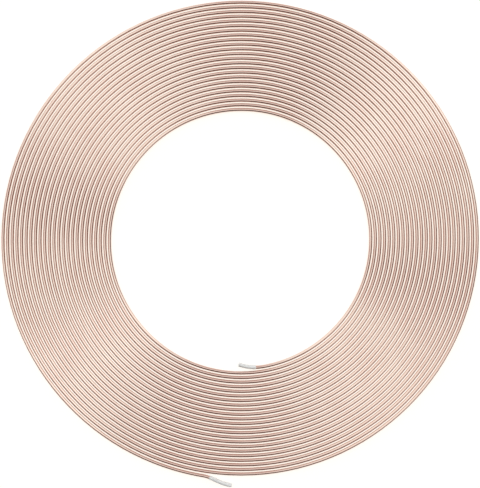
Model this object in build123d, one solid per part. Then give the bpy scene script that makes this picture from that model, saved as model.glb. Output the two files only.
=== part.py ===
from build123d import *
from math import cos, radians
import os

# Soft copper tube of a standard small size. Its section has flats all round, and lies on one of them
tube_diameter = 4.00
tube_wall = 0.60
tube_sides = 12
bore_sides = 8

# One flat layer of evenly wound turns, with a narrow open line between each and the next
turns = 24
turn_gap = 1.40
turn_pitch = tube_diameter + turn_gap
first_turn_radius = 151.0

# Where the tube springs clear of the floor at either end, in degrees round the coil, and how it rises from there
inner_lift_angle = -67.0
inner_lift_arc = 13.0
outer_lift_angle = 248.5
outer_lift_arc = 12.0
lift_tilt = 8.0

# Bends past the lift: the inner tail turns into the eye, the outer one away from the coil and a little way back
tail_bend_radius = 56.0
inner_bare_arc = 9.5
inner_capped_arc = 20.0
outer_bare_arc = 9.0
outer_capped_arc = 9.0
outer_return_arc = 18.5

# Soft plastic caps pushed over the ends, open behind and closed at the tip
cap_wall = 0.20
cap_slip = 0.03
cap_tip_thickness = 0.80
cap_tip_round = 0.25

# A flat spiral drawn as half turns about two centres a half pitch apart, so that every join is tangent
top_angle = 90
half_turn = 180
tube_radius = tube_diameter / 2
right_centre = (0, turn_pitch / 4, tube_radius)
left_centre = (0, -turn_pitch / 4, tube_radius)

spiral = []
for turn in range(turns):
    right_radius = first_turn_radius + turn * turn_pitch
    left_radius = right_radius + turn_pitch / 2
    right_from = inner_lift_angle if turn == 0 else -top_angle
    left_to = outer_lift_angle if turn == turns - 1 else top_angle + half_turn
    spiral.append(CenterArc(right_centre, right_radius, right_from, top_angle - right_from))
    spiral.append(CenterArc(left_centre, left_radius, top_angle, left_to - top_angle))
last_turn_radius = left_radius


def tail(start, heading, side, bends):
    # The bends follow one another in a plane tipped about the heading, so the tube rises as it turns
    level = Plane(start, x_dir=heading, z_dir=(0, 0, 1))
    tipped = Plane(level.location * Rot(X=side * lift_tilt))
    here = Vector(0, 0)
    way = Vector(1, 0)
    arcs = []
    for radius, arc in bends:
        bend = JernArc(here, way, radius, side * arc)
        here = bend @ 1
        way = bend % 1
        arcs.append(tipped * bend)
    return arcs


def path(arcs):
    return Wire([arc.edge() for arc in arcs])


inner_start = spiral[0] @ 0
inner_heading = -(spiral[0] % 0)
inner_lift = (first_turn_radius, inner_lift_arc)
inner_bare = (tail_bend_radius, inner_bare_arc)
inner_capped = (tail_bend_radius, inner_capped_arc)
inner_tail = tail(inner_start, inner_heading, -1, [inner_lift, inner_bare, inner_capped])

outer_start = spiral[-1] @ 1
outer_heading = spiral[-1] % 1
outer_lift = (last_turn_radius, outer_lift_arc)
outer_bare = (tail_bend_radius, -outer_bare_arc)
outer_capped = (tail_bend_radius, -outer_capped_arc)
outer_return = (tail_bend_radius, outer_return_arc)
outer_tail = tail(outer_start, outer_heading, 1, [outer_lift, outer_bare, outer_capped, outer_return])


def flats(radius, sides):
    return RegularPolygon(radius, sides, major_radius=False, rotation=half_turn / sides)


# The tube's skin and its bore run the whole way from tip to tip, and a ring closes the wall at either cut end
tube_path = path(inner_tail[::-1] + spiral + outer_tail)
upright = Plane(inner_start, x_dir=(0, 0, 1), z_dir=inner_heading)
skin = sweep(upright * flats(tube_radius, tube_sides), path=tube_path)
bore = sweep(upright * flats(tube_radius - tube_wall, bore_sides), path=tube_path)
walls = skin.faces() + bore.faces()
rings = []
for end in (inner_tail[-1] @ 1, outer_tail[-1] @ 1):
    skin_end = skin.faces().sort_by_distance(end)[0]
    bore_end = bore.faces().sort_by_distance(end)[0]
    walls -= [skin_end, bore_end]
    rings.append(Face(skin_end.outer_wire(), [bore_end.outer_wire()]))
copper_tube = Solid(Shell(walls + rings))


def cap(capped):
    # A round sleeve along the tail, with a flat tip against the tube's cut end
    mouth = Plane(capped[0] @ 0, z_dir=capped[0] % 0)
    end = Plane(capped[-1] @ 1, z_dir=capped[-1] % 1)
    corner_angle = radians(half_turn / tube_sides)
    inside = tube_radius / cos(corner_angle) + cap_slip
    outside = inside + cap_wall
    sleeve = sweep(mouth * (Circle(outside) - Circle(inside)), path=path(capped))
    tip = extrude(end * Circle(outside), cap_tip_thickness)
    far_face = tip.faces().sort_by(Axis(end.origin, end.z_dir))[-1]
    return sleeve + fillet(far_face.edges(), cap_tip_round)


inner_end_cap = cap(inner_tail[2:])
outer_end_cap = cap(outer_tail[2:])

os.makedirs("parts", exist_ok=True)
export_step(copper_tube, "parts/copper_tube.step")
export_step(inner_end_cap, "parts/inner_end_cap.step")
export_step(outer_end_cap, "parts/outer_end_cap.step")
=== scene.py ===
import math
import bpy
import numpy as np
from mathutils import Matrix, Vector


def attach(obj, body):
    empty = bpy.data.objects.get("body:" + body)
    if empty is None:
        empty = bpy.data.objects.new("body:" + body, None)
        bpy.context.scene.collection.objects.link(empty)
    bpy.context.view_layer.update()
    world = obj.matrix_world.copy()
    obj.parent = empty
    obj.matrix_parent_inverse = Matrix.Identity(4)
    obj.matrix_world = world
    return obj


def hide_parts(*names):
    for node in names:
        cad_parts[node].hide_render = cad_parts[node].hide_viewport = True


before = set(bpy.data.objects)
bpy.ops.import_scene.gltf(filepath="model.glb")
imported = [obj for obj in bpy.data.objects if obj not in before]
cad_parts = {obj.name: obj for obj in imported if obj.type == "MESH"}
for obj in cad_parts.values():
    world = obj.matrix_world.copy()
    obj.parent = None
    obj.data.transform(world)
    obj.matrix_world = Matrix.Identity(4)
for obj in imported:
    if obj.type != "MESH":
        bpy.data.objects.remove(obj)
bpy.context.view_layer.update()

# how the tube lies: half turns about two centres, then a tipped tail at each end, as in the solids
lay = {
    "turns": 24,
    "pitch": 0.0054,
    "firstRadius": 0.151,
    "height": 0.002,  # centre of the tube above the floor
    "topAngle": 90.0,  # where a right half turn meets a left one
    "innerLift": -67.0,
    "innerLiftArc": 13.0,
    "outerLift": 248.5,
    "outerLiftArc": 12.0,
    "liftTilt": 8.0,
    "bendRadius": 0.056,
    "innerBare": 9.5,
    "innerCapped": 20.0,
    "outerBare": 9.0,
    "outerCapped": 9.0,
    "outerReturn": 18.5,
}
halfTurn = 180.0
upward = Vector((0, 0, 1))


def walk(spot, heading, arc):
    centre, axis, degrees = arc
    turn = Matrix.Rotation(math.radians(degrees), 3, axis)
    return centre + turn @ (spot - centre), turn @ heading


def spotOnTurn(centre, radius, degrees):
    angle = math.radians(degrees)
    outward = Vector((math.cos(angle), math.sin(angle), 0))
    return centre + outward * radius, upward.cross(outward)


def spiralArcs():
    arcs = []  # each (start, heading, (centre, axis, degrees))
    top = lay["topAngle"]
    right = Vector((0, lay["pitch"] / 4, lay["height"]))
    left = Vector((0, -lay["pitch"] / 4, lay["height"]))
    for turn in range(lay["turns"]):
        rightRadius = lay["firstRadius"] + turn * lay["pitch"]
        leftRadius = rightRadius + lay["pitch"] / 2
        fromAngle = lay["innerLift"] if turn == 0 else top - halfTurn
        toAngle = lay["outerLift"] if turn == lay["turns"] - 1 else top + halfTurn
        arcs.append((*spotOnTurn(right, rightRadius, fromAngle), (right, upward, top - fromAngle)))
        arcs.append((*spotOnTurn(left, leftRadius, top), (left, upward, toAngle - top)))
    return arcs


def tailArcs(spot, heading, side, bends):
    axis = Matrix.Rotation(math.radians(side * lay["liftTilt"]), 3, heading) @ upward
    arcs = []
    for radius, degrees in bends:
        hand = math.copysign(1, degrees) * side
        arcs.append((spot + axis.cross(heading) * radius * hand, axis * hand, abs(degrees)))
        spot, heading = walk(spot, heading, arcs[-1])
    return arcs


spiral = spiralArcs()
innerStart = (spiral[0][0], -spiral[0][1])
outerStart = walk(*spiral[-1])
lastRadius = lay["firstRadius"] + (lay["turns"] - 0.5) * lay["pitch"]
innerTail = tailArcs(*innerStart, -1, [
    (lay["firstRadius"], lay["innerLiftArc"]),
    (lay["bendRadius"], lay["innerBare"]),
    (lay["bendRadius"], lay["innerCapped"]),
])
outerTail = tailArcs(*outerStart, 1, [
    (lastRadius, lay["outerLiftArc"]),
    (lay["bendRadius"], -lay["outerBare"]),
    (lay["bendRadius"], -lay["outerCapped"]),
    (lay["bendRadius"], lay["outerReturn"]),
])
liftAndBare = 2  # bends of each tail before its cap


def addRing(name, spot, heading, radius, points):
    bpy.ops.object.select_all(action="DESELECT")  # load leaves the nodes selected
    facing = heading.to_track_quat("Z", "Y").to_euler()
    bpy.ops.mesh.primitive_circle_add(vertices=points, radius=radius, location=spot, rotation=facing)
    bpy.context.object.name = name
    bpy.context.object.data.name = name
    bpy.ops.object.transform_apply(location=True, rotation=True, scale=True)
    bpy.ops.object.mode_set(mode="EDIT")
    bpy.ops.mesh.select_all(action="SELECT")
    return bpy.context.object


def spinAlong(spot, heading, arcs, stepLength):
    for arc in arcs:
        centre, axis, degrees = arc
        length = math.radians(degrees) * (spot - centre).length
        steps = math.ceil(length / stepLength)
        clockwise = -math.radians(degrees)  # spin turns that way
        bpy.ops.mesh.spin(steps=steps, angle=clockwise, center=centre, axis=axis)
        spot, heading = walk(spot, heading, arc)
    return spot, heading


# the copper tube
tube = {
    "radius": 0.002,
    "wall": 0.0006,
    "points": 24,
    "stepsPerHalfTurn": 64,
    "tailStep": 0.0016,  # metres between rings on the tails
    "boreDepth": 0.004,
    "mergeGap": 0.00002,
    "smoothAngle": 40.0,
    "angleSlack": 0.001,  # radians that a ring may lie past the end of its arc
    "pastCost": 10.0,  # how strongly a ring past the end belongs to the next arc
}


def markFlow(piece, spot, heading, arcs, startLength, direction):
    # round the tube and along it, for marks that follow the drawing of the metal
    mesh = piece.data
    places = np.zeros(len(mesh.vertices) * 3)
    mesh.vertices.foreach_get("co", places)
    places = places.reshape(-1, 3)
    flow = np.zeros_like(places)
    best = np.full(len(places), np.inf)
    for arc in arcs:
        centre, axis, degrees = arc
        offset = places - np.array(centre)
        height = offset @ np.array(axis)
        flat = offset - np.outer(height, axis)
        startArm = np.array(spot - centre)
        radius = np.linalg.norm(startArm)
        startArm /= radius
        sideArm = np.cross(np.array(axis), startArm)
        angle = np.arctan2(flat @ sideArm, flat @ startArm)
        angle = np.where(angle < -tube["angleSlack"], angle + 2 * math.pi, angle)
        out = (np.linalg.norm(flat, axis=1) - radius) * np.sign(axis[2]) * direction
        past = np.maximum(angle - math.radians(degrees) - tube["angleSlack"], 0)
        miss = np.abs(np.hypot(out, height) - tube["radius"]) + tube["pastCost"] * past
        near = miss < best
        best = np.minimum(best, miss)
        along = startLength + direction * angle * radius
        flow[near] = np.stack([out, height * np.sign(axis[2]), along], 1)[near]
        startLength += direction * math.radians(degrees) * radius
        spot, heading = walk(spot, heading, arc)
    flow[:, :2] /= tube["radius"]
    mark = mesh.attributes.new("flow", "FLOAT_VECTOR", "POINT")
    mark.data.foreach_set("vector", flow.astype(np.float32).ravel())
    return startLength


def openEnd(spot, heading):
    # turn the last ring into the cut wall and a short bore
    share = 1 - tube["wall"] / tube["radius"]
    bpy.ops.mesh.extrude_region_move(TRANSFORM_OT_translate={"value": (0, 0, 0)})
    bpy.ops.transform.resize(value=(share, share, share), center_override=spot)
    bpy.ops.mesh.extrude_region_move(TRANSFORM_OT_translate={"value": heading * -tube["boreDepth"]})
    bpy.ops.mesh.edge_face_add()


def makeTube():
    parts = []
    length = 0.0
    for spot, heading, arc in spiral:
        part = addRing("halfTurn", spot, heading, tube["radius"], tube["points"])
        radius = (spot - arc[0]).length
        spinAlong(spot, heading, [arc], math.pi * radius / tube["stepsPerHalfTurn"])
        bpy.ops.object.mode_set(mode="OBJECT")
        length = markFlow(part, spot, heading, [arc], length, 1)
        parts.append(part)
    tails = ((innerStart, innerTail, 0, -1), (outerStart, outerTail, length, 1))
    for start, arcs, fromLength, direction in tails:
        part = addRing("tail", *start, tube["radius"], tube["points"])
        openEnd(*spinAlong(*start, arcs, tube["tailStep"]))
        bpy.ops.object.mode_set(mode="OBJECT")
        markFlow(part, *start, arcs, fromLength, direction)
        parts.append(part)
    bpy.ops.object.select_all(action="DESELECT")
    for part in parts:
        part.select_set(True)
    bpy.context.view_layer.objects.active = parts[0]
    bpy.ops.object.join()
    piece = bpy.context.object
    piece.name = "copperTube"
    piece.data.name = "copperTube"
    bpy.ops.object.mode_set(mode="EDIT")
    bpy.ops.mesh.select_all(action="SELECT")
    bpy.ops.mesh.remove_doubles(threshold=tube["mergeGap"])
    bpy.ops.mesh.normals_make_consistent(inside=False)
    bpy.ops.object.mode_set(mode="OBJECT")
    bpy.ops.object.shade_smooth_by_angle(angle=math.radians(tube["smoothAngle"]))
    return piece


copperTube = makeTube()
print("tube wound,", len(copperTube.data.polygons), "faces")


# the soft caps over the two ends
caps = {
    "wall": 0.0002,
    "slip": 0.00002,
    "points": 32,
    "step": 0.0008,  # metres between rings
    "tip": 0.0008,  # closed end beyond the cut of the tube
    "tipRound": 0.00025,
    "tipSegments": 3,
    "rimRound": 0.00006,
    "rimSegments": 2,
    "rimAngle": 60.0,  # edges sharper than this are rounded
    "smoothAngle": 35.0,
}


def makeCap(name, start, arcs):
    piece = addRing(name, *start, tube["radius"] + caps["slip"] + caps["wall"], caps["points"])
    spot, heading = spinAlong(*start, arcs, caps["step"])
    bpy.ops.mesh.extrude_region_move(TRANSFORM_OT_translate={"value": heading * caps["tip"]})
    bpy.ops.mesh.edge_face_add()
    bpy.ops.mesh.bevel(offset=caps["tipRound"], segments=caps["tipSegments"], affect="EDGES")
    bpy.ops.mesh.select_all(action="SELECT")
    bpy.ops.mesh.normals_make_consistent(inside=False)
    bpy.ops.object.mode_set(mode="OBJECT")
    shell = piece.modifiers.new("wall", "SOLIDIFY")
    shell.thickness = caps["wall"]
    shell.offset = -1
    bpy.ops.object.modifier_apply(modifier=shell.name)
    rim = piece.modifiers.new("rim", "BEVEL")
    rim.width = caps["rimRound"]
    rim.segments = caps["rimSegments"]
    rim.limit_method = "ANGLE"
    rim.angle_limit = math.radians(caps["rimAngle"])
    bpy.ops.object.modifier_apply(modifier=rim.name)
    bpy.ops.object.shade_smooth_by_angle(angle=math.radians(caps["smoothAngle"]))
    return piece


def capOnTail(name, start, tail):
    for arc in tail[:liftAndBare]:
        start = walk(*start, arc)
    return makeCap(name, start, tail[liftAndBare:])


innerCap = capOnTail("innerCap", innerStart, innerTail)
outerCap = capOnTail("outerCap", outerStart, outerTail)
print("caps pushed on,", len(innerCap.data.polygons), len(outerCap.data.polygons), "faces")


mixSockets = {"first": 6, "second": 7, "result": 2}  # the colours of a Mix node, whose names repeat


def addNode(tree, kind, **values):
    node = tree.nodes.new(kind)
    for key, value in values.items():
        if hasattr(node, key):
            setattr(node, key, value)
        else:
            node.inputs[key.replace("_", " ")].default_value = value
    return node


def join(tree, source, target):
    tree.links.new(source, target)


def mixColours(tree, factor, first, second):
    mix = addNode(tree, "ShaderNodeMix", data_type="RGBA")
    mix.inputs[mixSockets["first"]].default_value = first
    mix.inputs[mixSockets["second"]].default_value = second
    join(tree, factor, mix.inputs["Factor"])
    return mix.outputs[mixSockets["result"]]


handling = {
    "patchDetail": 4.0,
    "patchRough": 0.6,
    "patchDistort": 0.4,
    "patchFrom": 0.32,  # noise below this is bare of patches
    "patchTo": 0.68,
    "fleckDetail": 3.0,
    "fleckRough": 0.7,
    "fleckFrom": 0.52,
    "fleckTo": 0.74,
}


def handlingGroup():
    # cloudy patches and fine rubbed flecks, for anything that has been handled
    group = bpy.data.node_groups.new("handlingMarks", "ShaderNodeTree")
    group.interface.new_socket("Vector", in_out="INPUT", socket_type="NodeSocketVector")
    for name in ("Patch Scale", "Fleck Scale"):
        group.interface.new_socket(name, in_out="INPUT", socket_type="NodeSocketFloat")
    for name in ("Patches", "Flecks"):
        group.interface.new_socket(name, in_out="OUTPUT", socket_type="NodeSocketFloat")
    given = addNode(group, "NodeGroupInput")
    result = addNode(group, "NodeGroupOutput")
    patch = addNode(group, "ShaderNodeTexNoise", Detail=handling["patchDetail"],
                    Roughness=handling["patchRough"], Distortion=handling["patchDistort"])
    spread = addNode(group, "ShaderNodeMapRange",
                     From_Min=handling["patchFrom"], From_Max=handling["patchTo"])
    fleck = addNode(group, "ShaderNodeTexNoise",
                    Detail=handling["fleckDetail"], Roughness=handling["fleckRough"])
    pick = addNode(group, "ShaderNodeMapRange",
                   From_Min=handling["fleckFrom"], From_Max=handling["fleckTo"])
    join(group, given.outputs["Vector"], patch.inputs["Vector"])
    join(group, given.outputs["Patch Scale"], patch.inputs["Scale"])
    join(group, patch.outputs["Fac"], spread.inputs["Value"])
    join(group, spread.outputs["Result"], result.inputs["Patches"])
    join(group, given.outputs["Vector"], fleck.inputs["Vector"])
    join(group, given.outputs["Fleck Scale"], fleck.inputs["Scale"])
    join(group, fleck.outputs["Fac"], pick.inputs["Value"])
    join(group, pick.outputs["Result"], result.inputs["Flecks"])
    return group


handlingMarks = handlingGroup()


def newMaterial(name):
    material = bpy.data.materials.new(name)
    material.use_nodes = True
    tree = material.node_tree
    tree.nodes.clear()
    shader = addNode(tree, "ShaderNodeBsdfPrincipled")
    output = addNode(tree, "ShaderNodeOutputMaterial")
    join(tree, shader.outputs["BSDF"], output.inputs["Surface"])
    return material, tree, shader


copper = {
    "bright": (0.79, 0.582, 0.507, 1),
    "deep": (0.75, 0.52, 0.447, 1),
    "patchScale": 26.0,
    "drawLines": 14.0,  # lines round the tube
    "lineStretch": 9.0,  # along it, per metre
    "lineDetail": 3.0,
    "lineRough": 0.65,
    "lineFrom": 0.3,  # the noise between these sets how dull a line is
    "lineTo": 0.7,
    "roughFrom": 0.09,
    "roughTo": 0.18,
    "bump": 0.06,
    "bumpDepth": 0.0002,
}


def makeCopper():
    material, tree, shader = newMaterial("softCopper")
    shader.inputs["Metallic"].default_value = 1.0
    flow = addNode(tree, "ShaderNodeAttribute", attribute_name="flow")
    place = addNode(tree, "ShaderNodeTexCoord")
    marks = addNode(tree, "ShaderNodeGroup", node_tree=handlingMarks, Patch_Scale=copper["patchScale"])
    join(tree, place.outputs["Object"], marks.inputs["Vector"])
    stretch = addNode(tree, "ShaderNodeMapping")
    stretch.inputs["Scale"].default_value = (copper["drawLines"], copper["drawLines"], copper["lineStretch"])
    join(tree, flow.outputs["Vector"], stretch.inputs["Vector"])
    lines = addNode(tree, "ShaderNodeTexNoise", Scale=1.0,
                    Detail=copper["lineDetail"], Roughness=copper["lineRough"])
    join(tree, stretch.outputs["Vector"], lines.inputs["Vector"])
    colour = mixColours(tree, marks.outputs["Patches"], copper["bright"], copper["deep"])
    join(tree, colour, shader.inputs["Base Color"])
    rough = addNode(tree, "ShaderNodeMapRange", From_Min=copper["lineFrom"], From_Max=copper["lineTo"],
                    To_Min=copper["roughFrom"], To_Max=copper["roughTo"])
    join(tree, lines.outputs["Fac"], rough.inputs["Value"])
    join(tree, rough.outputs["Result"], shader.inputs["Roughness"])
    bump = addNode(tree, "ShaderNodeBump", Strength=copper["bump"], Distance=copper["bumpDepth"])
    join(tree, lines.outputs["Fac"], bump.inputs["Height"])
    join(tree, bump.outputs["Normal"], shader.inputs["Normal"])
    return material


plastic = {
    "milky": (0.985, 0.945, 0.935, 1),
    "clouded": (0.95, 0.905, 0.895, 1),
    "through": 0.05,  # share of the light that passes
    "ior": 1.49,
    "patchScale": 320.0,
    "fleckScale": 2600.0,
    "roughFrom": 0.3,
    "roughTo": 0.45,
    "bump": 0.08,
    "bumpDepth": 0.0001,
}


def makePlastic():
    material, tree, shader = newMaterial("milkyPlastic")
    shader.inputs["Transmission Weight"].default_value = plastic["through"]
    shader.inputs["IOR"].default_value = plastic["ior"]
    place = addNode(tree, "ShaderNodeTexCoord")
    marks = addNode(tree, "ShaderNodeGroup", node_tree=handlingMarks,
                    Patch_Scale=plastic["patchScale"], Fleck_Scale=plastic["fleckScale"])
    join(tree, place.outputs["Object"], marks.inputs["Vector"])
    colour = mixColours(tree, marks.outputs["Patches"], plastic["milky"], plastic["clouded"])
    join(tree, colour, shader.inputs["Base Color"])
    rough = addNode(tree, "ShaderNodeMapRange", To_Min=plastic["roughFrom"], To_Max=plastic["roughTo"])
    join(tree, marks.outputs["Flecks"], rough.inputs["Value"])
    join(tree, rough.outputs["Result"], shader.inputs["Roughness"])
    bump = addNode(tree, "ShaderNodeBump", Strength=plastic["bump"], Distance=plastic["bumpDepth"])
    join(tree, marks.outputs["Flecks"], bump.inputs["Height"])
    join(tree, bump.outputs["Normal"], shader.inputs["Normal"])
    return material


softCopper = makeCopper()
milkyPlastic = makePlastic()
for piece, node, slot, material in (
    (copperTube, "copper_tube", "copper", softCopper),
    (innerCap, "inner_end_cap", "cap_plastic", milkyPlastic),
    (outerCap, "outer_end_cap", "cap_plastic", milkyPlastic),
):
    piece.data.materials.clear()
    piece.data.materials.append(material)
    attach(piece, "root")
    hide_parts(node)
print("materials laid on")

# floor and light
studio = {
    "floorSize": 12.0,
    "floor": (0.29, 0.31, 0.41, 1),  # cooler than the glow, so the two make white together
    "floorRough": 0.9,
    "floorGlow": 0.87,  # seen by the camera, so the floor is pale between the turns too
    "glowTint": (1.0, 0.935, 0.80, 1),
    "floorShine": 0.88,  # seen in reflections
    "surround": 0.65,  # soft light from all round
    "dimmest": 0.05,  # left in front of the darkest cards
    "dimTint": (1.10, 0.94, 0.94, 1),
    "brightTint": (0.925, 1.045, 1.03, 1),
    "tintFrom": 0.56,  # light below this is all dimTint
    "tintTo": 1.23,  # and above this all brightTint
    "cards": (  # bearing, lift and half width in degrees, then the change from the surround
        (0, 90, 30, 0.47),
        (28, 56, 24, 1.40),
        (208, 56, 24, 1.26),
        (135, 56, 24, 0.88),
        (317, 56, 24, 0.56),
        (30, 15, 40, 0.84),
        (128, 15, 38, 0.67),
        (180, 45, 25, -0.38),
        (2, 48, 26, -0.74),
        (252, 14, 68, -2.10),
        (357, 8, 46, -1.95),
        (322, 0, 46, -1.25),
        (207, 8, 28, -0.17),
    ),
}


def makeFloor():
    bpy.ops.object.select_all(action="DESELECT")
    bpy.ops.mesh.primitive_plane_add(size=studio["floorSize"])
    piece = bpy.context.object
    piece.name = "studioFloor"
    material, tree, shader = newMaterial("paleFloor")
    shader.inputs["Base Color"].default_value = studio["floor"]
    shader.inputs["Roughness"].default_value = studio["floorRough"]
    shader.inputs["Specular IOR Level"].default_value = 0.0
    shader.inputs["Emission Color"].default_value = studio["glowTint"]
    path = addNode(tree, "ShaderNodeLightPath")
    seen = addNode(tree, "ShaderNodeMath", operation="MULTIPLY")
    seen.inputs[1].default_value = studio["floorGlow"]
    mirrored = addNode(tree, "ShaderNodeMath", operation="ADD", use_clamp=True)
    glow = addNode(tree, "ShaderNodeMath", operation="MULTIPLY_ADD")
    glow.inputs[1].default_value = studio["floorShine"]
    join(tree, path.outputs["Is Camera Ray"], seen.inputs[0])
    join(tree, path.outputs["Is Glossy Ray"], mirrored.inputs[0])
    join(tree, path.outputs["Is Transmission Ray"], mirrored.inputs[1])
    join(tree, mirrored.outputs[0], glow.inputs[0])
    join(tree, seen.outputs[0], glow.inputs[2])
    join(tree, glow.outputs[0], shader.inputs["Emission Strength"])
    piece.data.materials.append(material)


def cardFacing(bearing, lift):
    turn = math.radians(bearing)
    rise = math.radians(lift)
    return math.cos(turn) * math.cos(rise), math.sin(turn) * math.cos(rise), math.sin(rise)


def makeLight():
    # a pale room with lighter and darker cards stood round it
    world = bpy.data.worlds.new("studioWorld")
    bpy.context.scene.world = world
    world.use_nodes = True
    tree = world.node_tree
    sky = tree.nodes["Background"]
    look = addNode(tree, "ShaderNodeTexCoord")
    path = addNode(tree, "ShaderNodeLightPath")
    total = None
    for bearing, lift, halfWidth, change in studio["cards"]:
        facing = addNode(tree, "ShaderNodeVectorMath", operation="DOT_PRODUCT")
        facing.inputs[1].default_value = cardFacing(bearing, lift)
        card = addNode(tree, "ShaderNodeMapRange", interpolation_type="SMOOTHSTEP",
                       From_Min=math.cos(math.radians(halfWidth)), To_Max=change)
        level = addNode(tree, "ShaderNodeMath", operation="ADD")
        join(tree, look.outputs["Generated"], facing.inputs[0])
        join(tree, facing.outputs["Value"], card.inputs["Value"])
        join(tree, card.outputs["Result"], level.inputs[0])
        if total:
            join(tree, total, level.inputs[1])
        else:
            level.inputs[1].default_value = studio["surround"]
        total = level.outputs[0]
    cool = addNode(tree, "ShaderNodeMapRange", From_Min=studio["tintFrom"], From_Max=studio["tintTo"])
    join(tree, total, cool.inputs["Value"])
    tint = mixColours(tree, cool.outputs["Result"], studio["dimTint"], studio["brightTint"])
    join(tree, tint, sky.inputs["Color"])
    least = addNode(tree, "ShaderNodeMath", operation="MAXIMUM")
    least.inputs[1].default_value = studio["dimmest"]
    join(tree, total, least.inputs[0])
    white = addNode(tree, "ShaderNodeMath", operation="MAXIMUM")  # the backdrop itself is seen as white
    join(tree, least.outputs[0], white.inputs[0])
    join(tree, path.outputs["Is Camera Ray"], white.inputs[1])
    join(tree, white.outputs[0], sky.inputs["Strength"])


# nearly straight down, as in the photo
view = {
    "target": (-0.0015, -0.0042, 0.0026),
    "distance": 1.62,
    "tilt": 1.5,
    "lens": 102.5,
    "sensor": 36.0,
}


def makeCamera():
    tilt = math.radians(view["tilt"])
    spot = Vector(view["target"]) + Vector((0, math.sin(tilt), math.cos(tilt))) * view["distance"]
    bpy.ops.object.camera_add(location=spot, rotation=(-tilt, 0, 0))
    camera = bpy.context.object
    camera.data.lens = view["lens"]
    camera.data.sensor_width = view["sensor"]
    bpy.context.scene.camera = camera


makeFloor()
makeLight()
makeCamera()
bpy.context.scene.view_settings.view_transform = "Standard"
print("studio set")
